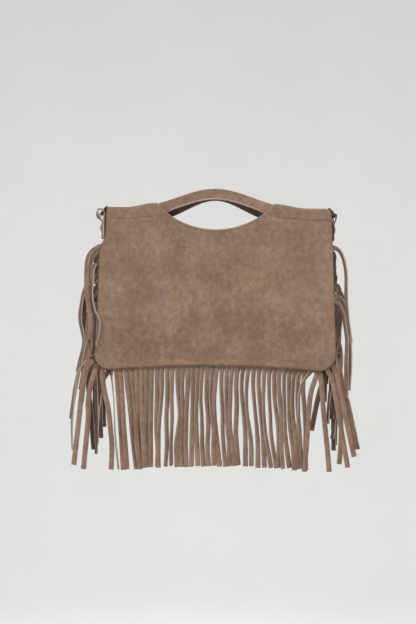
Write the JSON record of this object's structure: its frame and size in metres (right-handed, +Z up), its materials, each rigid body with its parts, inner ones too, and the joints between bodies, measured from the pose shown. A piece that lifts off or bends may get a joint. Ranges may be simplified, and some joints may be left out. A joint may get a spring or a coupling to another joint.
{
  "type": "fringed suede clutch bag",
  "caption": "Flat suede clutch bag with a scalloped top, band handles, a magnetic snap, side D-rings on riveted tabs, and a long cut fringe along its sides and foot.",
  "frame": {"origin": "at the underside of the handles' middle, where a hand holds the bag", "axes": "+Z up as the bag hangs, the front panel faces -Y, +X to the right as the front is seen"},
  "size_m": [0.3323, 0.0248, 0.3399],
  "materials": {
    "suede": "taupe suede with a short mottled nap, cut edges a little paler",
    "inner_suede": "taupe suede facing, flesh side out",
    "cotton": "plain woven cotton lining",
    "antique_brass": "antique brass plate, darkened, satin",
    "steel": "plain steel washer"
  },
  "bodies": {
    "bag": {"front_panel": "suede", "back_panel": "suede", "front_facing": "inner_suede", "back_facing": "inner_suede", "front_handle": "suede", "back_handle": "suede", "stud_washer": "steel", "socket_washer": "steel", "snap_stud": "antique_brass", "snap_socket": "antique_brass", "lining": "cotton", "fringe_left": "suede", "fringe_bottom": "suede", "fringe_right": "suede", "tab_left": "suede", "rivet_left": "antique_brass", "tab_right": "suede", "rivet_right": "antique_brass"},
    "left_ring": {"d_ring_left": "antique_brass"},
    "right_ring": {"d_ring_right": "antique_brass"}
  },
  "joints": [
    {"name": "left_ring_swing", "type": "hinge", "parent": "bag", "child": "left_ring", "pos_m": [-0.13669, 0, -0.021], "axis": [0, -1, 0], "range_deg": [0, 201]},
    {"name": "right_ring_swing", "type": "hinge", "parent": "bag", "child": "right_ring", "pos_m": [0.14289, 0, -0.021], "axis": [0, 1, 0], "range_deg": [0, 201]}
  ]
}
